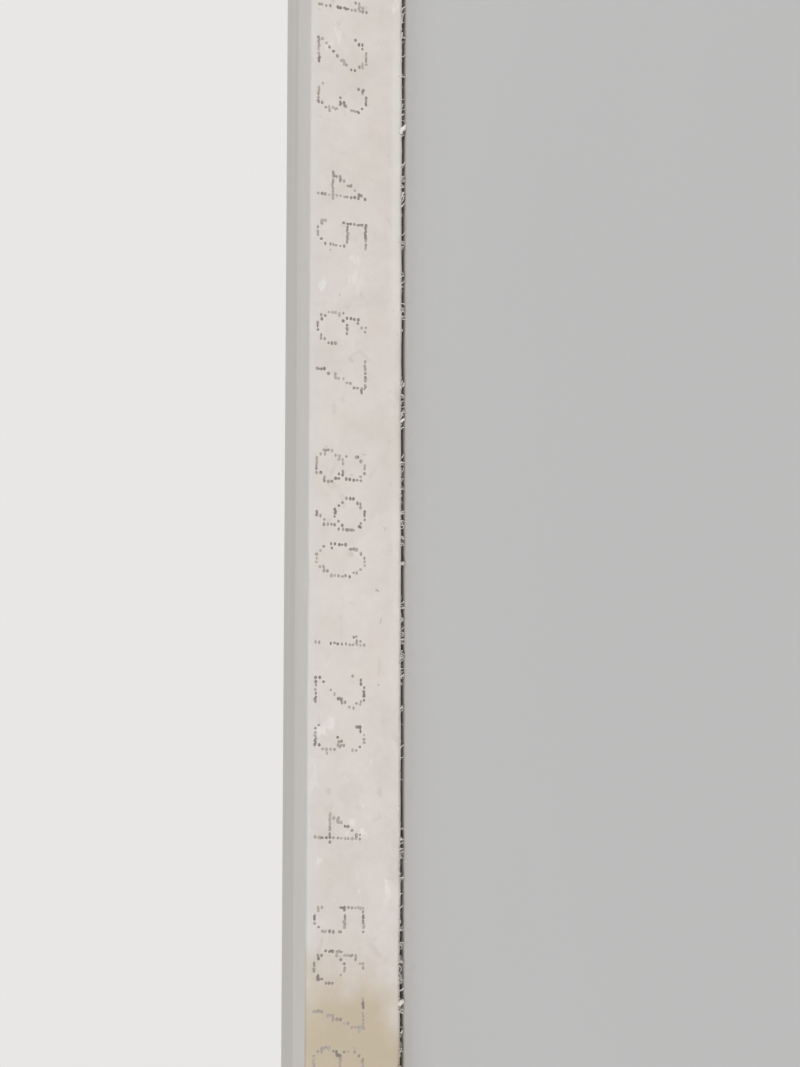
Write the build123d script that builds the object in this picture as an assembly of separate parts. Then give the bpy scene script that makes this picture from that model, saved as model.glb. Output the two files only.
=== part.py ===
from build123d import *
import os

# A paper-faced gypsum board, in millimetres
# It lies flat on its back with its front face up
# X runs along its length, Y across its width and Z through its thickness
# The origin is at the middle of its underside

# The sheet as it is sold
sheet_length = 2400.0
sheet_width = 1200.0
sheet_thickness = 12.5

# The two paper liners
face_paper_thickness = 0.35
back_paper_thickness = 0.35

# The long edges, which thin down at the front to leave room for joint tape and filler
taper_width = 45.0
taper_depth = 0.8

# The face paper's bends round a long edge, measured on its outside
front_bend_radius = 0.5
back_bend_radius = 0.5

# The face paper's flap on the back, and the bare strip of it that the back paper leaves
flap_width = 25.0
bare_flap_width = 15.0

# Half widths and heights that follow from those sizes
half_width = sheet_width / 2
edge_front_height = sheet_thickness - taper_depth
flap_outer_height = back_paper_thickness
flap_inner_height = flap_outer_height + face_paper_thickness


def wrapped_outline():
    """The section of the slab as the face paper wraps it, tapered at both long edges."""
    corners = [
        (-half_width, flap_outer_height),
        (half_width, flap_outer_height),
        (half_width, edge_front_height),
        (half_width - taper_width, sheet_thickness),
        (-half_width + taper_width, sheet_thickness),
        (-half_width, edge_front_height),
    ]
    outline = make_face(Polyline(*corners, close=True))
    back_bends = outline.vertices().group_by(Axis.Y)[0]
    outline = fillet(back_bends, back_bend_radius)
    front_bends = outline.vertices().group_by(Axis.Y)[-2]
    return fillet(front_bends, front_bend_radius)


def back_land():
    """The core's bare back between the two flaps, which lies level with them."""
    land_width = sheet_width - 2 * flap_width
    land_centre = (flap_outer_height + flap_inner_height) / 2
    return Pos(0, land_centre) * Rectangle(land_width, face_paper_thickness)


def core_section():
    """The gypsum inside the wrapped paper, with a shallow rebate over each flap."""
    inside_paper = offset(wrapped_outline(), amount=-face_paper_thickness)
    return inside_paper + back_land()


def face_paper_section():
    """The face paper: the front, both wrapped edges and the flaps folded on to the back."""
    return wrapped_outline() - core_section()


def back_paper_section():
    """The back paper, flat, with its two cut edges lapped over the flaps."""
    paper_width = sheet_width - 2 * bare_flap_width
    return Pos(0, back_paper_thickness / 2) * Rectangle(paper_width, back_paper_thickness)


def run_full_length(section):
    """A section drawn in Y and Z, run along X and sawn square at both ends."""
    return extrude(Plane.YZ * section, amount=sheet_length / 2, both=True)


pieces = {
    "gypsum_core": run_full_length(core_section()),
    "face_paper": run_full_length(face_paper_section()),
    "back_paper": run_full_length(back_paper_section()),
}

os.makedirs("parts", exist_ok=True)
for name, piece in pieces.items():
    piece.label = name
    export_step(piece, f"parts/{name}.step")
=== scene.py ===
import math
import random
from collections import namedtuple

import bmesh
import bpy
from mathutils import Matrix, Vector, noise


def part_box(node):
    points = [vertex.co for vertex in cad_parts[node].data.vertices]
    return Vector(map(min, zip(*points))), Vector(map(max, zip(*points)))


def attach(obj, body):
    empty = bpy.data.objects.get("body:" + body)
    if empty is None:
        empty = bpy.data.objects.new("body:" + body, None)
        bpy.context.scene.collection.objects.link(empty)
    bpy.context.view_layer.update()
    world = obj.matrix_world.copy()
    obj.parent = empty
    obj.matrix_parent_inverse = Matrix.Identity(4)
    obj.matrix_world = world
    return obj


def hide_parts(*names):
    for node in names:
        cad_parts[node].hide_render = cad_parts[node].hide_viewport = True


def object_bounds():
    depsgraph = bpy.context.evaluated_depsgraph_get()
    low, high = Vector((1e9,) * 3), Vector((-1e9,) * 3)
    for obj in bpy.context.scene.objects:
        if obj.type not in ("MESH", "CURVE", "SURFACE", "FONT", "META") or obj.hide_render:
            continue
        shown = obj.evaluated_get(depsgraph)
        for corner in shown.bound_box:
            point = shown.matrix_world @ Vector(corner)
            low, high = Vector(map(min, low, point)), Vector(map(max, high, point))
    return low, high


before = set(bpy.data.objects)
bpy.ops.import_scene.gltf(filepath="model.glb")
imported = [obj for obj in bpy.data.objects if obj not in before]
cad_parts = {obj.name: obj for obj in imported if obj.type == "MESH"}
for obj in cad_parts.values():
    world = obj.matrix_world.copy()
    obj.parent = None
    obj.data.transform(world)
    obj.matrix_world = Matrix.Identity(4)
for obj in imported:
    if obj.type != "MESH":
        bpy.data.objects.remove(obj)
cad_low, cad_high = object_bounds()

MM = 0.001

# The board's sizes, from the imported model
HALF_LENGTH = cad_high.x
HALF_WIDTH = cad_high.y
BOARD_TOP = cad_high.z
FLAP_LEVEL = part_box("back_paper")[1].z
LINER_THICKNESS = BOARD_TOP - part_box("gypsum_core")[1].z

# The wrapped edge's sizes, as its solid has them
TAPER_WIDTH = 45 * MM
TAPER_DEPTH = 0.8 * MM
BEND_RADIUS = 0.5 * MM
FLAP_WIDTH = 25 * MM
BARE_FLAP_WIDTH = 15 * MM
EDGE_TOP = BOARD_TOP - TAPER_DEPTH
TAPER_SLOPE = math.atan2(TAPER_DEPTH, TAPER_WIDTH)
LOW_BEND_HEIGHT = FLAP_LEVEL + BEND_RADIUS
HIGH_BEND_HEIGHT = EDGE_TOP - BEND_RADIUS * math.tan((math.pi / 2 - TAPER_SLOPE) / 2)
INNER_RADIUS = BEND_RADIUS - LINER_THICKNESS

# How deep the long edges' waves, tears and knocks go, and how far from an arris they reach
WAVE_DEPTH = 0.05 * MM
LOW_ARRIS_TEAR = 0.12 * MM
HIGH_ARRIS_TEAR = 0.05 * MM
TEAR_REACH = 1 * MM
KNOCK_COUNT = 150
KNOCK_REACH = 0.9 * MM
KNOCK_SPAN_IN_WIDTHS = 2.5
WEAR_REACH = 2 * MM
DEEPEST_WEAR = 0.28 * MM

# Corners sharper than this stay sharp, and all else is shaded smooth
SHARP_CORNER = math.radians(40)

# The photograph's frame, and the columns where it shows the printed edge at half its height
IMAGE_WIDTH, IMAGE_HEIGHT = 800, 1067
FOCAL_PIXELS = 801
COLUMN_OF_TOP_CORNER = 308
COLUMN_OF_BOTTOM_CORNER = 402
COLUMN_OF_VANISHING = 283
SENSOR_WIDTH_MM = 36

# The camera's place along the edge, and its two small turns in degrees
CAMERA_X = 0.0
TURN_ALONG_EDGE = 1.65
ROLL = 0.12

# The steps of the liner's mesh along the board, which are fine as far as this from the camera
FINE_REACH = 84 * MM
FINE_STEP = 0.5 * MM
COARSE_STEP = 12 * MM

# The printed line: plain counting digits in groups, each at its distance in millimetres
# The last value is the share of the gaps between a group's dots that the ink has closed
PRINT_GROUPS = [
    ("90", -17.5, 0.9),
    ("123", 0.0, 0.9),
    ("45", 22.4, 0.9),
    ("67", 39.6, 0.5),
    ("890", 56.4, 0.3),
    ("123", 77.6, 0.3),
    ("4", 99.7, 0.4),
    ("5678", 110.2, 0.9),
    ("90", 137.0, 0.9),
]
PRINT_START = 66.5 * MM
PRINT_REPEAT = 600 * MM
PRINT_BASELINE = EDGE_TOP - 1.0 * MM
DIGIT_PITCH = 5.6 * MM
DIGIT_SLANT = 0.082

# The ink dots, which are a little astray, and of which this share is missing
DOT_COLUMNS, DOT_ROWS = 8, 13
DOT_COLUMN_PITCH = 0.47 * MM
DOT_ROW_PITCH = 0.445 * MM
DOT_RADIUS = 0.19 * MM
DOT_HEIGHT = 0.03 * MM
DOT_TAPER = 0.85
DOT_ASTRAY = 0.035 * MM
DOTS_MISSING = 0.06
NARROWEST_DOT = (0.85, 0.75, 1.0)
WIDEST_DOT = (1.45, 1.15, 1.0)

# Gaps between dots one above the other close only as often as this, next to those side by side
UP_GAPS_CLOSED = 0.4

# Dots that run together lie in layers, so that those that overlap share no plane
# The lowest layer is sunk by this share of a dot's height, and each next one by a step less
DOT_LAYERS = 7
LOWEST_DOT_SUNK = 0.8
DOT_LAYER_STEP = 0.1

# A fibre's thickness as a share of its length, and how much of it is gone at its tip
FIBRE_THICKNESS = 0.11
TIP_THINNING = 0.75

# The shortest fibre as a share of the longest, and the power that makes short ones common
SHORTEST_FIBRE = 0.2
SHORT_FIBRE_POWER = 1.8

# How many flakes, slivers and fibres of fray there are along each edge or end
FLAKE_COUNT, SLIVER_COUNT, FRAY_COUNT = 300, 500, 1500

# Fibres that would reach the floor lie just above it, pressed to this share of their thickness
PRESSED_LEVEL = 0.05 * MM
PRESSED_SHARE = 0.025

# The floor's reach and level, and how far out it starts to fade into the backdrop, and is gone
FLOOR_REACH = 30.0
FLOOR_LEVEL = -0.02 * MM
FLOOR_FADE_START, FLOOR_FADE_END = 2.0, 10.0

# The two lamps: the way that light comes out of, its strength, width in degrees and colour
LAMPS = {
    "key": ((-0.25, -0.92, 0.27), 1.69, 25, (1.0, 0.987, 0.971)),
    "fill": ((0.75, 0.45, 0.5), 0.8, 40, (1.0, 0.995, 0.985)),
}
WORLD_STRENGTH = 0.5


# Nodes

def tone(red, green, blue):
    """A colour as a picture shows it, 0 to 255, in the linear values that shaders take."""
    shares = [c / 255 for c in (red, green, blue)]
    return (*[s / 12.92 if s <= 0.04045 else ((s + 0.055) / 1.055) ** 2.4 for s in shares], 1.0)


class Wire:
    """A node's output. Sums written on it add Math nodes."""

    def __init__(self, tree, socket):
        self.tree = tree
        self.socket = socket

    def maths(self, operation, first, second=0.0):
        return self.tree.node("ShaderNodeMath", {"operation": operation}, {0: first, 1: second})

    def __add__(self, other):
        return self.maths("ADD", self, other)

    def __radd__(self, other):
        return self.maths("ADD", other, self)

    def __sub__(self, other):
        return self.maths("SUBTRACT", self, other)

    def __rsub__(self, other):
        return self.maths("SUBTRACT", other, self)

    def __mul__(self, other):
        return self.maths("MULTIPLY", self, other)

    def __rmul__(self, other):
        return self.maths("MULTIPLY", other, self)

    def __pow__(self, other):
        return self.maths("POWER", self, other)

    def __abs__(self):
        return self.maths("ABSOLUTE", self)

    def at_least(self, other):
        return self.maths("MAXIMUM", self, other)

    def beside(self, name):
        """Another output of the same node."""
        return Wire(self.tree, self.socket.node.outputs[name])


class Tree:
    """Adds nodes to one shader or geometry tree."""

    def __init__(self, tree):
        self.tree = tree

    def node(self, kind, settings=None, values=None, output=0):
        """Makes a node: its settings, then its sockets' values or links. Gives back one output."""
        made = self.tree.nodes.new(kind)
        for name, value in (settings or {}).items():
            setattr(made, name, value)
        for key, value in (values or {}).items():
            socket = made.inputs[key]
            if isinstance(value, Wire):
                self.tree.links.new(value.socket, socket)
            else:
                socket.default_value = value
        return Wire(self, made.outputs[output]) if made.outputs else None

    def noise(self, where, lump, detail=3.0, roughness=0.55, distortion=0.0):
        """Soft noise from 0 to 1, in lumps about as wide as lump, in metres."""
        values = {
            "Vector": where,
            "Scale": 1 / lump,
            "Detail": detail,
            "Roughness": roughness,
            "Distortion": distortion,
        }
        return self.node("ShaderNodeTexNoise", {}, values)

    def stretch(self, where, x=1.0, y=1.0, z=1.0):
        """The coordinates scaled along each axis. A pattern is drawn out where the scale is low."""
        return self.node("ShaderNodeMapping", {}, {"Vector": where, "Scale": (x, y, z)})

    def shake(self, where, lump, reach):
        """The coordinates pushed about by soft noise, which bends a pattern's plain shapes."""
        push = self.noise(where, lump, detail=2.0).beside("Color")
        values = {0: push, 1: (reach, reach, reach), 2: where}
        return self.node("ShaderNodeVectorMath", {"operation": "MULTIPLY_ADD"}, values)

    def remap(self, value, low, high):
        """0 up to low, 1 from high on, and smooth between the two."""
        values = {0: value, 1: low, 2: high}
        return self.node("ShaderNodeMapRange", {"interpolation_type": "SMOOTHSTEP"}, values)

    def blend(self, share, first, second):
        """The first colour where share is 0 and the second where it is 1."""
        return self.node("ShaderNodeMix", {"data_type": "RGBA"}, {0: share, 6: first, 7: second}, 2)

    def parts(self, vector):
        """The X, Y and Z of a vector."""
        split = self.node("ShaderNodeSeparateXYZ", {}, {0: vector})
        return [split.beside(axis) for axis in "XYZ"]

    def specks(self, where, cell, radius, kept):
        """Small round specks: one in each patch as wide as cell, of which the share kept shows."""
        values = {"Vector": where, "Scale": 1 / cell}
        cells = self.node("ShaderNodeTexVoronoi", {}, values, "Distance")
        lot = self.parts(cells.beside("Color"))[0]
        shown = self.remap(lot, kept, kept - 0.05)
        return self.remap(cells, radius / cell, 0.45 * radius / cell) * shown

    def patch(self, where, centre, size):
        """A ragged patch with a soft rim on a long edge, by its centre and size in X and Z."""
        x, _, z = self.parts(where)
        across = (x - centre[0]) * (2 / size[0])
        down = (z - centre[1]) * (2 / size[1])
        ragged = self.noise(where, 0.2 * min(size), detail=4.0)
        reach = across * across + down * down + (ragged - 0.5) * 1.2
        return self.remap(reach, 1.2, 0.35)


# Materials

def new_material(name):
    """An empty material with its tree, and the coordinates that its patterns lie on, in metres."""
    material = bpy.data.materials.new(name)
    material.use_nodes = True
    material.node_tree.nodes.clear()
    tree = Tree(material.node_tree)
    return material, tree, tree.node("ShaderNodeTexCoord", output="Object")


def finish_material(tree, colour, roughness, shine=0.2, height=None, relief=0.0):
    """Ends a material in its shader, with a bump as deep as relief where it has a height."""
    values = {"Base Color": colour, "Roughness": roughness, "Specular IOR Level": shine}
    if height is not None:
        values["Normal"] = tree.node("ShaderNodeBump", {}, {"Height": height, "Distance": relief})
    shader = tree.node("ShaderNodeBsdfPrincipled", {}, values)
    tree.node("ShaderNodeOutputMaterial", {}, {"Surface": shader})


def ivory_mottle(tree, where, fine):
    """The plain ivory of the liner, in soft lumps of every size, rosy and sallow in places."""
    vast = tree.noise(tree.stretch(where, 0.5), 260 * MM, detail=2.0)
    broad = tree.noise(tree.stretch(where, 0.7), 38 * MM, detail=2.0)
    cloudy = tree.noise(where, 5 * MM, detail=3.0, distortion=0.4)
    mottle = vast * 0.2 + broad * 0.25 + cloudy * 0.35 + fine * 0.2
    colour = tree.blend(tree.remap(mottle, 0.38, 0.62), tone(211, 204, 198), tone(222, 216, 211))
    rosy = tree.remap(tree.noise(where, 3.2 * MM, detail=2.0), 0.42, 0.64)
    colour = tree.blend(rosy * 0.45, colour, tone(220, 210, 206))
    sallow = tree.remap(tree.noise(where, 7.7 * MM, detail=2.0), 0.5, 0.7)
    return tree.blend(sallow * 0.35, colour, tone(212, 206, 194))


def add_specks(tree, where, colour):
    """The liner's dark and pale specks, and its small soft brown spots."""
    dark_specks = tree.specks(where, 3.1 * MM, 0.17 * MM, 0.3)
    colour = tree.blend(dark_specks * 0.5, colour, tone(150, 140, 128))
    pale_specks = tree.specks(where, 2.3 * MM, 0.14 * MM, 0.3)
    colour = tree.blend(pale_specks * 0.6, colour, tone(232, 229, 225))
    spots = tree.specks(tree.shake(where, 1.2 * MM, 0.5 * MM), 3.4 * MM, 0.5 * MM, 0.4)
    return tree.blend(spots * 0.3, colour, tone(186, 175, 160))


def add_rubs_and_rim_highlight(tree, where, colour):
    """Faint grey rubs, loose groups of pale scuffs, and a painted highlight: a paler band, in
    patches, just above the lower arris.
    """
    rubs = tree.noise(tree.stretch(where, 0.8, 1.0, 1.2), 2.8 * MM, detail=5.0, distortion=0.6)
    colour = tree.blend(tree.remap(rubs, 0.60, 0.74) * 0.3, colour, tone(178, 170, 162))
    scuffs = tree.remap(tree.noise(tree.stretch(where, 0.6, 1.0, 1.3), 2.2 * MM), 0.6, 0.68)
    scuffed = tree.remap(tree.noise(where, 26 * MM, detail=1.0), 0.5, 0.6)
    colour = tree.blend(scuffs * scuffed * 0.6, colour, tone(234, 231, 227))
    # Painted highlight: the edge is painted paler, in patches, in a band just above the lower arris.
    z = tree.parts(where)[2]
    lit_low_rim = tree.remap(z, FLAP_LEVEL + 1.8 * MM, FLAP_LEVEL + 1.0 * MM)
    rim_highlight_patches = tree.remap(tree.noise(tree.stretch(where, 0.25), 9 * MM, detail=4.0), 0.42, 0.6)
    return tree.blend(lit_low_rim * rim_highlight_patches * 0.5, colour, tone(227, 223, 219))


def add_front_tint_shade_and_dust(tree, where, colour):
    """The front's cooler ivory, partly a painted cool cast of light; painted shade that makes its
    streaked middle darker than the tapered margins; and its faint dust and smudges.
    """
    _, y, z = tree.parts(where)
    front = tree.remap(z, EDGE_TOP - 2.0 * MM, EDGE_TOP - 0.5 * MM)
    # The front's cooler tint is partly painted light, the cool cast of the light that falls on it,
    # and partly the paper's own tone.
    colour = tree.blend(front * 0.55, colour, tone(213, 211, 206))
    # Painted shade: the flat middle beyond the taper's crease is painted darker, in streaks, than
    # the tapered margins.
    crease = HALF_WIDTH - TAPER_WIDTH
    shaded_open_face = tree.remap(abs(y), crease + 3 * MM, crease - 3 * MM)
    streaks = tree.noise(tree.stretch(where, 0.01), 4 * MM, detail=3.0)
    colour = tree.blend(shaded_open_face * (0.3 + 0.3 * streaks), colour, tone(194, 190, 183))
    dust = tree.noise(tree.stretch(where, 0.35), 120 * MM, detail=6.0, roughness=0.6)
    colour = tree.blend(front * tree.remap(dust, 0.46, 0.72) * 0.17, colour, tone(224, 221, 216))
    smudges = tree.noise(tree.stretch(where, 0.6), 75 * MM, detail=6.0, distortion=0.6)
    return tree.blend(front * tree.remap(smudges, 0.54, 0.76) * 0.14, colour, tone(178, 172, 164))


def add_stain(tree, where, colour):
    """The one brown stain, which lies across the printed edge."""
    y = tree.parts(where)[1]
    printed_side = tree.remap(y, -HALF_WIDTH + 3 * MM, -HALF_WIDTH + 1 * MM)
    stain = tree.patch(where, (-75.5 * MM, 8 * MM), (53 * MM, 29 * MM)) * printed_side
    return tree.blend(stain * 0.85, colour, tone(193, 179, 154))


def ivory_liner():
    """The face liner: smooth ivory paper, softly mottled, specked, rubbed and stained."""
    material, tree, where = new_material("ivory liner paper")
    fine = tree.noise(where, 1.1 * MM, detail=4.0, roughness=0.65)
    fibres = tree.noise(tree.stretch(where, 0.3), 0.16 * MM, detail=3.0, roughness=0.7)
    colour = ivory_mottle(tree, where, fine)
    for add_layer in (add_specks, add_rubs_and_rim_highlight, add_front_tint_shade_and_dust, add_stain):
        colour = add_layer(tree, where, colour)
    finish_material(tree, colour, 0.9, 0.05, fine * 0.5 + fibres * 0.5, 0.03 * MM)
    return material


def grey_liner():
    """The back liner: rough grey-brown recycled paper, streaked along the board."""
    material, tree, where = new_material("grey liner paper")
    streaks = tree.noise(tree.stretch(where, 0.06), 3 * MM, detail=4.0)
    cloudy = tree.noise(where, 9 * MM, detail=4.0)
    fine = tree.noise(where, 0.7 * MM, detail=4.0, roughness=0.7)
    mottle = streaks * 0.25 + cloudy * 0.4 + fine * 0.35
    colour = tree.blend(tree.remap(mottle, 0.34, 0.66), tone(146, 134, 119), tone(176, 166, 153))
    dark_specks = tree.specks(where, 2.4 * MM, 0.2 * MM, 0.4)
    colour = tree.blend(dark_specks * 0.6, colour, tone(96, 86, 76))
    pale_specks = tree.specks(where, 3.1 * MM, 0.25 * MM, 0.35)
    colour = tree.blend(pale_specks * 0.6, colour, tone(206, 200, 190))
    cut_edge = HALF_WIDTH - BARE_FLAP_WIDTH
    across = abs(tree.parts(where)[1]) + (tree.noise(where, 0.6 * MM) - 0.5) * (0.5 * MM)
    torn = tree.remap(across, cut_edge - 0.35 * MM, cut_edge - 0.1 * MM)
    colour = tree.blend(torn * 0.8, colour, tone(226, 221, 213))
    finish_material(tree, colour, 0.9, 0.2, fine, 0.05 * MM)
    return material


def sawn_gypsum():
    """The core where it is sawn: chalky plaster with round pores, painted darker with shade, and
    upright saw marks.
    """
    material, tree, where = new_material("sawn gypsum")
    cloudy = tree.noise(where, 7 * MM, detail=4.0)
    grains = tree.noise(where, 0.5 * MM, detail=3.0, roughness=0.7)
    saw = tree.noise(tree.stretch(where, z=0.12), 0.6 * MM, detail=2.0)
    bent = tree.shake(where, 0.9 * MM, 0.35 * MM)
    pores = tree.specks(bent, 2.7 * MM, 0.36 * MM, 0.35) * 0.8
    pores = pores + tree.specks(bent, 1.0 * MM, 0.17 * MM, 0.6) * 0.6
    pores = pores + tree.specks(bent, 0.4 * MM, 0.08 * MM, 0.6) * 0.4
    mottle = cloudy * 0.5 + grains * 0.3 + saw * 0.2
    colour = tree.blend(tree.remap(mottle, 0.36, 0.64), tone(226, 221, 214), tone(243, 239, 234))
    # Painted shade: the pores are painted darker, as shade in their hollows; their pits are also in
    # the bump.
    colour = tree.blend(pores * 0.6, colour, tone(178, 171, 163))
    height = saw * 0.35 + grains * 0.35 - pores
    finish_material(tree, colour, 0.95, 0.15, height, 0.12 * MM)
    return material


def faded_ink():
    """Thin grey ink that has sunk in and faded, more in some places than in others."""
    material, tree, where = new_material("faded ink")
    uneven = tree.remap(tree.noise(where, 1.3 * MM, detail=3.0), 0.36, 0.64)
    colour = tree.blend(uneven, tone(136, 128, 122), tone(180, 173, 167))
    finish_material(tree, colour, 0.8, 0.2)
    return material


def bare_fibre():
    """Torn paper fibre, paler than the liner that it comes out of."""
    material, tree, where = new_material("bare paper fibre")
    uneven = tree.noise(where, 2 * MM, detail=1.0)
    colour = tree.blend(uneven, tone(208, 203, 196), tone(238, 235, 231))
    finish_material(tree, colour, 0.85, 0.2)
    return material


def backdrop_rays(tree):
    """1 for the rays that see the plain backdrop, from the camera or off something shiny, else 0."""
    rays = tree.node("ShaderNodeLightPath")
    seen = rays.beside("Is Camera Ray")
    for kind in ("Is Glossy Ray", "Is Transmission Ray"):
        seen = seen.at_least(rays.beside(kind))
    return seen


def pale_floor(backdrop):
    """A plain pale floor with the faintest grain, which fades into the backdrop far away."""
    material, tree, where = new_material("pale floor")
    grain = tree.noise(where, 40 * MM, detail=4.0)
    colour = tree.blend(grain, tone(213, 212, 211), tone(216, 215, 214))
    x, y, _ = tree.parts(where)
    away = (x * x + y * y) ** 0.5
    values = {"Base Color": colour, "Roughness": 0.9, "Specular IOR Level": 0.1}
    near = tree.node("ShaderNodeBsdfPrincipled", {}, values)
    plain = tree.node("ShaderNodeEmission", {}, {"Color": backdrop})
    faded = tree.remap(away, FLOOR_FADE_START, FLOOR_FADE_END) * backdrop_rays(tree)
    shader = tree.node("ShaderNodeMixShader", {}, {0: faded, 1: near, 2: plain})
    tree.node("ShaderNodeOutputMaterial", {}, {"Surface": shader})
    return material


# Meshes

def plain_mesh(name, points, faces=()):
    """A new piece made of those points and faces."""
    mesh = bpy.data.meshes.new(name)
    mesh.from_pydata([tuple(p) for p in points], [], [tuple(f) for f in faces])
    made = bpy.data.objects.new(name, mesh)
    bpy.context.scene.collection.objects.link(made)
    return made


def finish_mesh(made, material):
    """Turns a piece's faces outward, smooths it but for its sharp corners, and paints it."""
    work = bmesh.new()
    work.from_mesh(made.data)
    bmesh.ops.recalc_face_normals(work, faces=work.faces)
    work.to_mesh(made.data)
    work.free()
    made.data.materials.append(material)
    made.data.shade_smooth()
    made.data.set_sharp_from_angle(angle=SHARP_CORNER)
    return made


# The wear of the long edges

Knock = namedtuple("Knock", "x side level width depth")


def edge_wave(x, z):
    """How far a long edge lies in from true at a place on it: long soft waves and small cockles."""
    waves = math.sin(x / (23 * MM) + 1.7 * math.sin(x / (97 * MM))) + math.sin(x / (61 * MM) + 2.0)
    cockles = noise.noise(Vector((x / (11 * MM), 3.1, z / (3.5 * MM))))
    return (0.5 + 0.12 * waves + 0.3 * cockles) * WAVE_DEPTH


def arris_tear(x, y, z):
    """How far in the paper is worn at a place near an arris, more so at the lower one."""
    lower = z < (FLAP_LEVEL + EDGE_TOP) / 2
    level, deepest = (FLAP_LEVEL, LOW_ARRIS_TEAR) if lower else (EDGE_TOP, HIGH_ARRIS_TEAR)
    away = math.hypot(HALF_WIDTH - abs(y), z - level)
    bites = noise.noise(Vector((x / (4.2 * MM), y, level)))
    nicks = noise.noise(Vector((x / (1.3 * MM), y, level)))
    return deepest * max(0.0, 0.5 + 0.7 * bites + 0.4 * nicks) * max(0.0, 1 - away / TEAR_REACH)


def arris_knocks():
    """Small knocks in the arrises, two thirds of them in the upper ones."""
    lot = random.Random(31)
    knocks = []
    for _ in range(KNOCK_COUNT):
        x = lot.uniform(-HALF_LENGTH, HALF_LENGTH)
        side = lot.choice((-1, 1))
        level = lot.choice((EDGE_TOP, EDGE_TOP, FLAP_LEVEL))
        width = lot.uniform(1.0, 4.5) * MM
        depth = lot.uniform(0.04, 0.2) * MM
        knocks.append(Knock(x, side, level, width, depth))
    return knocks


def knock_depth(x, y, z, knocks):
    """How deep the knocks are at a place on the liner."""
    depth = 0.0
    for knock in knocks:
        if y * knock.side > 0:
            along = (x - knock.x) / knock.width
            away = math.hypot(HALF_WIDTH - abs(y), z - knock.level) / KNOCK_REACH
            depth += knock.depth * math.exp(-(along**2) - away**2)
    return depth


def liner_wear(x, y, z, out, knocks):
    """How far in the liner lies at a place: waves on the long edges, torn and knocked arrises."""
    if HALF_WIDTH - abs(y) > WEAR_REACH:
        return 0.0
    sink = edge_wave(x, z) * abs(out[0]) + arris_tear(x, y, z) + knock_depth(x, y, z, knocks)
    return min(sink, DEEPEST_WEAR)


# The face liner

def bend(centre_height, start, end, steps=7):
    """Points round a bend of the liner at the low-Y edge, each with its way out, in Y and Z."""
    points = []
    for i in range(steps + 1):
        turn = math.radians(start + (end - start) * i / steps)
        out = (math.cos(turn), math.sin(turn))
        y = -HALF_WIDTH + BEND_RADIUS + BEND_RADIUS * out[0]
        points.append((y, centre_height + BEND_RADIUS * out[1], out))
    return points


def between(first, last, out, steps=16):
    """Points strictly between two others, closer together near both."""
    points = []
    for i in range(1, steps):
        share = 0.5 - 0.5 * math.cos(math.pi * i / steps)
        y, z = [a + (b - a) * share for a, b in zip(first[:2], last[:2])]
        points.append((y, z, out))
    return points


def liner_section():
    """The face liner's outside, from its flap's cut end at low Y, over the front, to the other."""
    down, aside, front = (0.0, -1.0), (-1.0, 0.0), (0.0, 1.0)
    half_slant = (-math.sin(TAPER_SLOPE / 2), math.cos(TAPER_SLOPE / 2))
    flap_end = (-HALF_WIDTH + FLAP_WIDTH, FLAP_LEVEL, down)
    low_bend = bend(LOW_BEND_HEIGHT, 270, 180)
    high_bend = bend(HIGH_BEND_HEIGHT, 180, 90 + math.degrees(TAPER_SLOPE))
    crease = (-HALF_WIDTH + TAPER_WIDTH, BOARD_TOP, half_slant)
    middle = (0.0, BOARD_TOP, front)
    wall = between(low_bend[-1], high_bend[0], aside)
    half = [flap_end, *low_bend, *wall, *high_bend, crease]
    return half + [middle] + [(-y, z, (-out[0], out[1])) for y, z, out in reversed(half)]


def stations():
    """Places along the board's length, close together where the camera stands."""
    places = [-HALF_LENGTH]
    while places[-1] < HALF_LENGTH:
        near = abs(places[-1] + FINE_STEP - CAMERA_X) < FINE_REACH
        places.append(min(places[-1] + (FINE_STEP if near else COARSE_STEP), HALF_LENGTH))
    return places


def liner_ring(x, section, knocks):
    """The liner's points at a station, as one closed ring: its worn outside, then back inside."""
    near_knocks = [k for k in knocks if abs(x - k.x) < KNOCK_SPAN_IN_WIDTHS * k.width]
    outside, inside = [], []
    for y, z, out in section:
        sink = liner_wear(x, y, z, out, near_knocks)
        outside.append((x, y - out[0] * sink, z - out[1] * sink))
        inside.append((x, y - out[0] * LINER_THICKNESS, z - out[1] * LINER_THICKNESS))
    return outside + inside[::-1]


def make_face_liner(material):
    """The face liner as one wrapped sheet of its real thickness, waved and knocked at its edges."""
    section, places, knocks = liner_section(), stations(), arris_knocks()
    verts = [point for x in places for point in liner_ring(x, section, knocks)]
    around = 2 * len(section)
    last_ring = (len(places) - 1) * around
    faces = []
    for a in range(0, last_ring, around):
        b = a + around
        for j in range(around):
            k = (j + 1) % around
            faces.append((a + j, a + k, b + k, b + j))
    for a in (0, last_ring):
        for j in range(len(section) - 1):
            k = around - 1 - j
            faces.append((a + j, a + k, a + k - 1, a + j + 1))
    return finish_mesh(plain_mesh("face_liner", verts, faces), material)


# The gypsum core

def core_top(y):
    """The core's upper surface at a distance across the board, under the liner."""
    flat = BOARD_TOP - LINER_THICKNESS
    drop = (abs(y) - HALF_WIDTH + TAPER_WIDTH) * math.tan(TAPER_SLOPE)
    inside = HALF_WIDTH - LINER_THICKNESS - abs(y)
    if inside >= INNER_RADIUS:
        return min(flat, flat - drop)
    return HIGH_BEND_HEIGHT + math.sqrt(max(0.0, INNER_RADIUS**2 - (INNER_RADIUS - inside) ** 2))


def core_bottom(y):
    """The core's lower surface there: bare in the middle, and above the flaps at the sides."""
    inside = HALF_WIDTH - LINER_THICKNESS - abs(y)
    if inside < INNER_RADIUS:
        return LOW_BEND_HEIGHT - math.sqrt(max(0.0, INNER_RADIUS**2 - (INNER_RADIUS - inside) ** 2))
    return FLAP_LEVEL if abs(y) < HALF_WIDTH - FLAP_WIDTH else FLAP_LEVEL + LINER_THICKNESS


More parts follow.
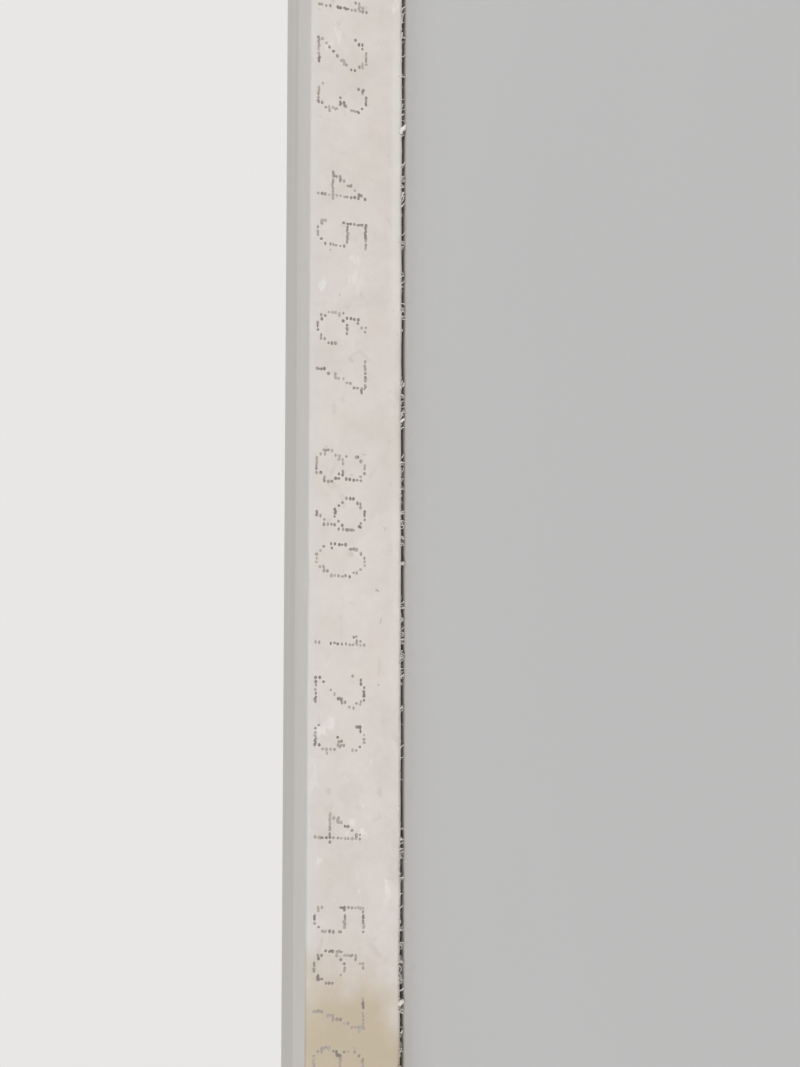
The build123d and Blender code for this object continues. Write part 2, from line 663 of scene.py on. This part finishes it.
def sawn_depth(side, y, z):
    """How far in the sawn end lies at a place: saw ridges, grains, and the odd broken-out pit."""
    ridges = 0.03 * noise.noise(Vector((side * 7, y / (2.2 * MM), z / (20 * MM))))
    grains = 0.05 * noise.fractal(Vector((side * 3, y / (1.7 * MM), z / (1.7 * MM))), 0.8, 2.1, 3)
    distances, centres = noise.voronoi(Vector((side * 5, y / (4.2 * MM), z / (4.2 * MM))))
    chosen = noise.noise(centres[0] * 3.7) > 0.12
    pit = max(0.0, 1 - distances[0] / 0.34) * 0.35 if chosen else 0.0
    return max(0.0, 0.06 + ridges + grains + pit) * MM


def end_point(side, y, share):
    """A point on a sawn end, by its place across the board and its share of the way up."""
    low, high = core_bottom(y), core_top(y)
    z = low + (high - low) * share
    return (side * (HALF_LENGTH - sawn_depth(side, y, z)), y, z)


def core_columns():
    """Places across the board for the core's points, with more at its bends and flap ends."""
    step, rebate = 0.75 * MM, 0.01 * MM
    wall, land = HALF_WIDTH - LINER_THICKNESS, HALF_WIDTH - FLAP_WIDTH
    flat_half = wall - INNER_RADIUS
    count = round(2 * flat_half / step)
    inner = [flat_half * (2 * i / count - 1) for i in range(count + 1)]
    bends = [wall, wall - 0.25 * INNER_RADIUS, wall - 0.6 * INNER_RADIUS]
    extra = [*bends, land + rebate, land - rebate]
    return sorted({*inner, *extra, *[-y for y in extra]})


def make_core(material):
    """The gypsum core, plain under the paper and rough on its two sawn ends."""
    rows, across = 14, core_columns()
    shares = [j / rows for j in range(rows + 1)]
    verts = [end_point(side, y, share) for side in (-1, 1) for y in across for share in shares]
    column = rows + 1
    end = len(across) * column
    faces = []
    for a in range(0, end - column, column):
        b = a + column
        for j in range(rows):
            faces.append((a + j, a + j + 1, b + j + 1, b + j))
            faces.append((end + a + j, end + b + j, end + b + j + 1, end + a + j + 1))
        faces.append((a, b, end + b, end + a))
        faces.append((a + rows, end + a + rows, end + b + rows, b + rows))
    for a in (0, end - column):
        for j in range(rows):
            faces.append((a + j, a + j + 1, end + a + j + 1, end + a + j))
    return finish_mesh(plain_mesh("gypsum_block", verts, faces), material)


# Geometry trees

class Maker:
    """A geometry tree with named inputs, run once on a piece to give its plain mesh."""

    def __init__(self, name, inputs):
        self.group = bpy.data.node_groups.new(name, "GeometryNodeTree")
        self.tree = Tree(self.group)
        sockets = self.group.interface
        for in_out in ("OUTPUT", "INPUT"):
            sockets.new_socket(name="Geometry", in_out=in_out, socket_type="NodeSocketGeometry")
        self.settings = {}
        for key, (kind, value) in inputs.items():
            socket = sockets.new_socket(name=key, in_out="INPUT", socket_type=kind)
            self.settings[socket.identifier] = value
        self.entry = self.group.nodes.new("NodeGroupInput")

    def given(self, name):
        """One of the tree's named inputs."""
        return Wire(self.tree, self.entry.outputs[name])

    def lot(self, low, high, salt, kind="FLOAT"):
        """A random value for each point, from low to high, that depends on the tree's seed."""
        low_socket, high_socket, output = (2, 3, 1) if kind == "FLOAT" else (0, 1, 0)
        values = {low_socket: low, high_socket: high, "Seed": self.given("Seed") + salt}
        return self.tree.node("FunctionNodeRandomValue", {"data_type": kind}, values, output)

    def points(self):
        """The points of the piece that the tree runs on."""
        return self.tree.node("GeometryNodeMeshToPoints", {}, {0: self.given("Geometry")})

    def finish(self, geometry, material):
        """Ends the tree with a real mesh in its material."""
        solid = self.tree.node("GeometryNodeRealizeInstances", {}, {0: geometry})
        painted = self.tree.node("GeometryNodeSetMaterial", {}, {0: solid, "Material": material})
        leave = self.group.nodes.new("NodeGroupOutput")
        self.group.links.new(painted.socket, leave.inputs[0])

    def run(self, made):
        """Runs the tree on a piece, keeps the mesh that comes out, and takes the tree off again."""
        modifier = made.modifiers.new("maker", "NODES")
        modifier.node_group = self.group
        for identifier, value in self.settings.items():
            modifier[identifier] = value
        shown = made.evaluated_get(bpy.context.evaluated_depsgraph_get())
        mesh = bpy.data.meshes.new_from_object(shown)
        made.modifiers.remove(modifier)
        made.data = mesh
        return made


# The print

def arc(centre_x, centre_y, radius_x, radius_y, start, end, steps=40):
    """Points round an oval, from one angle to another in degrees."""
    turns = [math.radians(start + (end - start) * i / steps) for i in range(steps + 1)]
    return [(centre_x + radius_x * math.cos(t), centre_y + radius_y * math.sin(t)) for t in turns]


# Each digit's strokes in a box one wide and one high, as straight runs and ovals
DIGIT_STROKES = {
    "0": [arc(0.5, 0.5, 0.48, 0.5, 90, 450)],
    "1": [[(0.2, 0.76), (0.55, 1.0), (0.55, 0.0)]],
    "2": [[*arc(0.5, 0.72, 0.46, 0.28, 165, -25), (0.03, 0.0), (0.97, 0.0)]],
    "3": [[*arc(0.46, 0.74, 0.42, 0.26, 155, -85), *arc(0.46, 0.25, 0.48, 0.25, 85, -155)]],
    "4": [[(0.72, 0.0), (0.72, 1.0), (0.02, 0.3), (0.98, 0.3)]],
    "5": [[(0.9, 1.0), (0.14, 1.0), (0.08, 0.56), *arc(0.47, 0.32, 0.46, 0.32, 125, -150)]],
    "6": [[*arc(0.62, 0.45, 0.58, 0.55, 100, 180), *arc(0.5, 0.3, 0.46, 0.3, 180, 540)]],
    "7": [[(0.03, 1.0), (0.97, 1.0), (0.34, 0.0)]],
    "8": [arc(0.5, 0.75, 0.38, 0.25, 90, 450), arc(0.5, 0.26, 0.46, 0.26, 90, 450)],
    "9": [[*arc(0.38, 0.55, 0.58, 0.55, -80, 0), *arc(0.5, 0.7, 0.46, 0.3, 0, 360)]],
}


def stroke_cells(stroke):
    """The cells of the printer's raster that a stroke's dots fall in, as columns and rows."""
    width, height = DOT_COLUMNS * DOT_COLUMN_PITCH, DOT_ROWS * DOT_ROW_PITCH
    corners = [Vector((x * width, y * height)) for x, y in stroke]
    spacing = 0.95 * DOT_ROW_PITCH
    places, left = [corners[0]], spacing
    for a, b in zip(corners, corners[1:]):
        run = (b - a).length
        travelled = left
        while travelled <= run:
            places.append(a.lerp(b, travelled / run))
            travelled += spacing
        left = travelled - run
    return [(round(p.x / DOT_COLUMN_PITCH), round(p.y / DOT_ROW_PITCH)) for p in places]


def digit_cells(digit, closed, lot):
    """One digit's cells, and the places half way between two of them where the ink has run."""
    strokes = DIGIT_STROKES[digit]
    cells = dict.fromkeys(cell for stroke in strokes for cell in stroke_cells(stroke))
    along_gaps = [(c + 0.5, r) for c, r in cells if (c + 1, r) in cells and lot.random() < closed]
    closed_up = UP_GAPS_CLOSED * closed
    up_gaps = [(c, r + 0.5) for c, r in cells if (c, r + 1) in cells and lot.random() < closed_up]
    return [*cells, *along_gaps, *up_gaps]


def edge_surface(liner, x, side, z):
    """How far across the board the liner's surface lies at a place on a long edge."""
    outside, inward = (x, 2 * side * HALF_WIDTH, z), (0.0, -side, 0.0)
    return liner.ray_cast(outside, inward)[1].y


def digit_dots(digit, corner, closed, lot, liner):
    """Where one digit's ink dots lie on the edge, a little astray, with a few missing."""
    dots = []
    for column, row in digit_cells(digit, closed, lot):
        along = column * DOT_COLUMN_PITCH + lot.gauss(0, DOT_ASTRAY)
        up = row * DOT_ROW_PITCH + lot.gauss(0, DOT_ASTRAY)
        missing = lot.random() < DOTS_MISSING
        x, z = corner - along - DIGIT_SLANT * up, PRINT_BASELINE - up
        layer = (2 * column + 6 * row) % DOT_LAYERS
        sunk = (LOWEST_DOT_SUNK - DOT_LAYER_STEP * layer) * DOT_HEIGHT
        if not missing and abs(x) < HALF_LENGTH - 1 * MM:
            dots.append((x, edge_surface(liner, x, -1, z) + sunk, z))
    return dots


def make_print(material, liner):
    """The dotted digits along the low-Y edge: a thin flat button of ink on each dot's place."""
    lot = random.Random(12)
    dots = []
    for repeat in range(-2, 3):
        for digits, offset, closed in PRINT_GROUPS:
            for i, digit in enumerate(digits):
                corner = PRINT_START + repeat * PRINT_REPEAT - offset * MM - i * DIGIT_PITCH
                dots += digit_dots(digit, corner, closed, lot, liner)
    inputs = {"Radius": ("NodeSocketFloat", DOT_RADIUS), "Seed": ("NodeSocketInt", 3)}
    maker = Maker("ink dots", inputs)
    radius = maker.given("Radius")
    button = {
        "Vertices": 8,
        "Radius Top": radius * DOT_TAPER,
        "Radius Bottom": radius,
        "Depth": DOT_HEIGHT,
    }
    spread = {
        "Points": maker.points(),
        "Instance": maker.tree.node("GeometryNodeMeshCone", {}, button),
        "Rotation": (math.radians(90), 0.0, 0.0),
        "Scale": maker.lot(NARROWEST_DOT, WIDEST_DOT, 0, "FLOAT_VECTOR"),
    }
    maker.finish(maker.tree.node("GeometryNodeInstanceOnPoints", {}, spread), material)
    return maker.run(plain_mesh("edge_print", dots))


# Torn fibres

def fibre_outline(tree, thickness, flat):
    """The outline of a fibre's section: three-sided, or a thin oblong in a flat one."""
    if flat:
        sizes = {"Width": thickness * 3.0, "Height": thickness * 0.5}
        return tree.node("GeometryNodeCurvePrimitiveQuadrilateral", {}, sizes)
    sizes = {"Resolution": 3, "Radius": thickness}
    return tree.node("GeometryNodeCurvePrimitiveCircle", {}, sizes)


def fibre_shapes(tree, outline, steps):
    """Three bent fibres one unit long, which taper to a point, with that outline."""
    bends = [
        ((0.0, 0.0, 0.5), (0.25, 0.1, 0.95)),
        ((0.3, 0.0, 0.45), (0.1, 0.3, 0.85)),
        ((-0.1, 0.35, 0.6), (0.5, 0.5, 0.6)),
    ]
    join = tree.tree.nodes.new("GeometryNodeGeometryToInstance")
    for middle, tip in bends:
        values = {"Start": (0.0, 0.0, 0.0), "Middle": middle, "End": tip, "Resolution": steps}
        line = tree.node("GeometryNodeCurveQuadraticBezier", {}, values)
        along = tree.node("GeometryNodeSplineParameter")
        radius = 1.0 - along * TIP_THINNING
        tapered = tree.node("GeometryNodeSetCurveRadius", {}, {0: line, "Radius": radius})
        values = {"Curve": tapered, "Profile Curve": outline, "Fill Caps": True}
        tube = tree.node("GeometryNodeCurveToMesh", {}, values)
        tree.tree.links.new(tube.socket, join.inputs[0])
    return Wire(tree, join.outputs[0])


def fibre_turns(maker, lean, spread):
    """How each fibre is turned: leaning its own way within the spread, and spun about itself."""
    tree = maker.tree
    low = tuple(a - b for a, b in zip(lean, spread))
    high = tuple(a + b for a, b in zip(lean, spread))
    toward = {"Vector": maker.lot(low, high, 1, "FLOAT_VECTOR")}
    leaning = tree.node("FunctionNodeAlignRotationToVector", {"axis": "Z"}, toward)
    about = {"Axis": (0.0, 0.0, 1.0), "Angle": maker.lot(0.0, math.tau, 2)}
    spin = tree.node("FunctionNodeAxisAngleToRotation", {}, about)
    turned = {"Rotation": leaning, "Rotate By": spin}
    return tree.node("FunctionNodeRotateRotation", {"rotation_space": "LOCAL"}, turned)


def kinked_off_floor(maker, solid):
    """The fibres with small kinks in them, and pressed flat where they would reach the floor."""
    tree = maker.tree
    place = tree.node("GeometryNodeInputPosition")
    x, y, z = tree.parts(place)
    astray = tree.parts(tree.noise(place, 0.25 * MM, detail=2.0).beside("Color"))
    aside, out, up = [(share - 0.5) * maker.given("Kinks") for share in astray]
    height = z + up
    pressed = height * PRESSED_SHARE + PRESSED_LEVEL
    bent = {0: x + aside, 1: y + out, 2: height.at_least(pressed)}
    moved = {0: solid, "Position": tree.node("ShaderNodeCombineXYZ", {}, bent)}
    return tree.node("GeometryNodeSetPosition", {}, moved)


def make_fibres(name, roots, lean, spread, longest, seed, material, flat=False, kinks=0.04 * MM):
    """Torn fibres, or flat slivers, out of those roots, leaning one way, no two quite alike."""
    inputs = {
        "Longest": ("NodeSocketFloat", longest),
        "Kinks": ("NodeSocketFloat", kinks),
        "Thickness": ("NodeSocketFloat", FIBRE_THICKNESS),
        "Seed": ("NodeSocketInt", seed),
    }
    maker = Maker(name, inputs)
    tree = maker.tree
    outline = fibre_outline(tree, maker.given("Thickness"), flat)
    length = maker.lot(0.0, 1.0, 3) ** SHORT_FIBRE_POWER * (1 - SHORTEST_FIBRE) + SHORTEST_FIBRE
    choice = {0: maker.lot(0.0, 2.99, 4)}
    values = {
        "Points": maker.points(),
        "Instance": fibre_shapes(tree, outline, 8 if flat else 3),
        "Pick Instance": True,
        "Instance Index": tree.node("FunctionNodeFloatToInt", {"rounding_mode": "FLOOR"}, choice),
        "Rotation": fibre_turns(maker, lean, spread),
        "Scale": length * maker.given("Longest"),
    }
    fibres = tree.node("GeometryNodeInstanceOnPoints", {}, values)
    solid = tree.node("GeometryNodeRealizeInstances", {}, {0: fibres})
    maker.finish(kinked_off_floor(maker, solid), material)
    return maker.run(plain_mesh(name, roots))


def arris_roots(side, count, seed):
    """Places for fibres along a lower arris, in loose tufts, on the bend of the paper."""
    lot = random.Random(seed)
    reach = BEND_RADIUS - 0.05 * MM
    roots = []
    while len(roots) < count:
        x = lot.uniform(-HALF_LENGTH, HALF_LENGTH)
        tufts = noise.noise(Vector((x / (9 * MM), seed, 0)))
        wisps = noise.noise(Vector((x / (2 * MM), seed, 5)))
        if tufts + 0.7 * wisps + 0.3 * lot.uniform(-1, 1) < 0.0:
            continue
        turn = math.radians(lot.uniform(200, 262))
        y = -HALF_WIDTH + BEND_RADIUS + reach * math.cos(turn)
        roots.append((x, -side * y, LOW_BEND_HEIGHT + reach * math.sin(turn)))
    return roots


def edge_roots(side, count, seed, liner):
    """Places for raised fibres all over a long edge."""
    lot = random.Random(seed)
    roots = []
    for _ in range(count):
        x = lot.uniform(-HALF_LENGTH, HALF_LENGTH)
        z = lot.uniform(LOW_BEND_HEIGHT, HIGH_BEND_HEIGHT)
        roots.append((x, edge_surface(liner, x, side, z), z))
    return roots


def end_roots(side, count, seed):
    """Places for fibres round a sawn end, along the cut of both papers."""
    lot = random.Random(seed)
    x = side * (HALF_LENGTH - 0.05 * MM)
    roots = []
    for _ in range(count):
        y = lot.uniform(-HALF_WIDTH + 1 * MM, HALF_WIDTH - 1 * MM)
        low = lot.uniform(0.1, 0.25) * MM
        high = core_top(y) + lot.uniform(0.1, 0.9) * LINER_THICKNESS
        roots.append((x, y, lot.choice((low, high, high))))
    return roots


# The studio

def add_lamp(name, out_of, strength, width, colour):
    """A far soft lamp, by the way that its light comes out of and its width in degrees."""
    data = bpy.data.lights.new(name, "SUN")
    data.angle = math.radians(width)
    data.energy = strength
    data.color = colour
    lamp = bpy.data.objects.new(name, data)
    lamp.rotation_euler = Vector(out_of).to_track_quat("Z", "Y").to_euler()
    bpy.context.scene.collection.objects.link(lamp)


def make_world(light, strength, backdrop):
    """Soft light from all round, which cameras and shiny things see as a plain pale backdrop."""
    world = bpy.data.worlds.new("studio")
    bpy.context.scene.world = world
    world.use_nodes = True
    world.node_tree.nodes.clear()
    tree = Tree(world.node_tree)
    around = tree.node("ShaderNodeBackground", {}, {"Color": light, "Strength": strength})
    plain = tree.node("ShaderNodeBackground", {}, {"Color": backdrop, "Strength": 1.0})
    mixed = tree.node("ShaderNodeMixShader", {}, {0: backdrop_rays(tree), 1: around, 2: plain})
    tree.node("ShaderNodeOutputWorld", {}, {"Surface": mixed})


def make_floor(material):
    """The floor, which reaches far enough to fill every view."""
    ways = ((-1, -1), (1, -1), (1, 1), (-1, 1))
    corners = [(x * FLOOR_REACH, y * FLOOR_REACH, FLOOR_LEVEL) for x, y in ways]
    floor = plain_mesh("floor", corners, [(0, 1, 2, 3)])
    floor.data.materials.append(material)
    return floor


def column_slope(column, tilt):
    """How steeply the ray through a column of the photograph falls, with the camera tilted so."""
    return math.tan(tilt + math.atan((column - IMAGE_WIDTH / 2) / FOCAL_PIXELS))


def make_camera():
    """The camera at the printed edge, turned as in the photograph, where the edge runs upright."""
    tilt = math.atan((IMAGE_WIDTH / 2 - COLUMN_OF_VANISHING) / FOCAL_PIXELS)
    top_slope = column_slope(COLUMN_OF_TOP_CORNER, tilt)
    bottom_slope = column_slope(COLUMN_OF_BOTTOM_CORNER, tilt)
    distance = (EDGE_TOP - FLAP_LEVEL) / (bottom_slope - top_slope)
    turn, roll = math.radians(TURN_ALONG_EDGE), math.radians(ROLL)
    ahead, along = Vector((0, math.cos(tilt), -math.sin(tilt))), Vector((1, 0, 0))
    level_right = ahead.cross(along)
    forward = ahead * math.cos(turn) + along * math.sin(turn)
    level_up = along * math.cos(turn) - ahead * math.sin(turn)
    up = level_up * math.cos(roll) - level_right * math.sin(roll)
    right = level_right * math.cos(roll) + level_up * math.sin(roll)
    data = bpy.data.cameras.new("camera")
    data.sensor_width = SENSOR_WIDTH_MM
    data.lens = SENSOR_WIDTH_MM * FOCAL_PIXELS / IMAGE_HEIGHT
    data.clip_start, data.clip_end = 0.002, 100
    camera = bpy.data.objects.new("camera", data)
    x = CAMERA_X - distance * math.tan(turn)
    place = (x, -HALF_WIDTH - distance, EDGE_TOP + top_slope * distance)
    axes = Matrix((right, up, -forward)).transposed().to_4x4()
    camera.matrix_world = Matrix.Translation(place) @ axes
    bpy.context.scene.collection.objects.link(camera)
    bpy.context.scene.camera = camera


make_camera()
bpy.context.scene.view_settings.view_transform = "Standard"

ivory, grey, gypsum = ivory_liner(), grey_liner(), sawn_gypsum()
ink, fibre = faded_ink(), bare_fibre()

for node, material in (("gypsum_core", gypsum), ("face_paper", ivory), ("back_paper", grey)):
    cad_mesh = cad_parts[node].data
    cad_mesh.materials.clear()
    cad_mesh.materials.append(material)

face_liner = make_face_liner(ivory)
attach(face_liner, "root")
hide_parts("face_paper")

gypsum_block = make_core(gypsum)
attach(gypsum_block, "root")
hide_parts("gypsum_core")

edge_print = make_print(ink, face_liner)
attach(edge_print, "root")

FUZZ = {"spread": (0.85, 0.4, 0.4), "longest": 0.8 * MM, "material": fibre}
for name, side, count, seed in (("printed_edge_fuzz", -1, 9000, 5), ("plain_edge_fuzz", 1, 4000, 6)):
    roots = arris_roots(side, count, seed)
    fuzz = make_fibres(name, roots, (0.35, 0.5 * side, -0.7), seed=seed, **FUZZ)
    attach(fuzz, "root")

TORN = {
    "spread": (0.8, 0.4, 0.35),
    "longest": 1.7 * MM,
    "kinks": 0.6 * MM,
    "material": fibre,
    "flat": True,
}
for name, side, seed in (("printed_edge_flakes", -1, 11), ("plain_edge_flakes", 1, 12)):
    roots = arris_roots(side, FLAKE_COUNT, seed)
    flakes = make_fibres(name, roots, (0.3, 0.5 * side, -0.4), seed=seed, **TORN)
    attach(flakes, "root")

RAISED = {"spread": (1.0, 0.12, 1.0), "longest": 0.9 * MM, "material": fibre, "flat": True}
for name, side, seed in (("printed_edge_slivers", -1, 7), ("plain_edge_slivers", 1, 8)):
    roots = edge_roots(side, SLIVER_COUNT, seed, face_liner)
    slivers = make_fibres(name, roots, (0.0, 0.1 * side, 0.0), seed=seed, **RAISED)
    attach(slivers, "root")

FRAY = {"spread": (0.4, 0.8, 0.8), "longest": 0.9 * MM, "material": fibre}
for name, side, seed in (("sawn_end_fray_a", -1, 9), ("sawn_end_fray_b", 1, 10)):
    roots = end_roots(side, FRAY_COUNT, seed)
    fray = make_fibres(name, roots, (0.6 * side, 0.0, 0.0), seed=seed, **FRAY)
    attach(fray, "root")

BACKDROP = tone(232, 231, 230)
floor = make_floor(pale_floor(BACKDROP))
make_world(tone(248, 250, 252), WORLD_STRENGTH, BACKDROP)
for name, (out_of, strength, width, colour) in LAMPS.items():
    add_lamp(name, out_of, strength, width, colour)
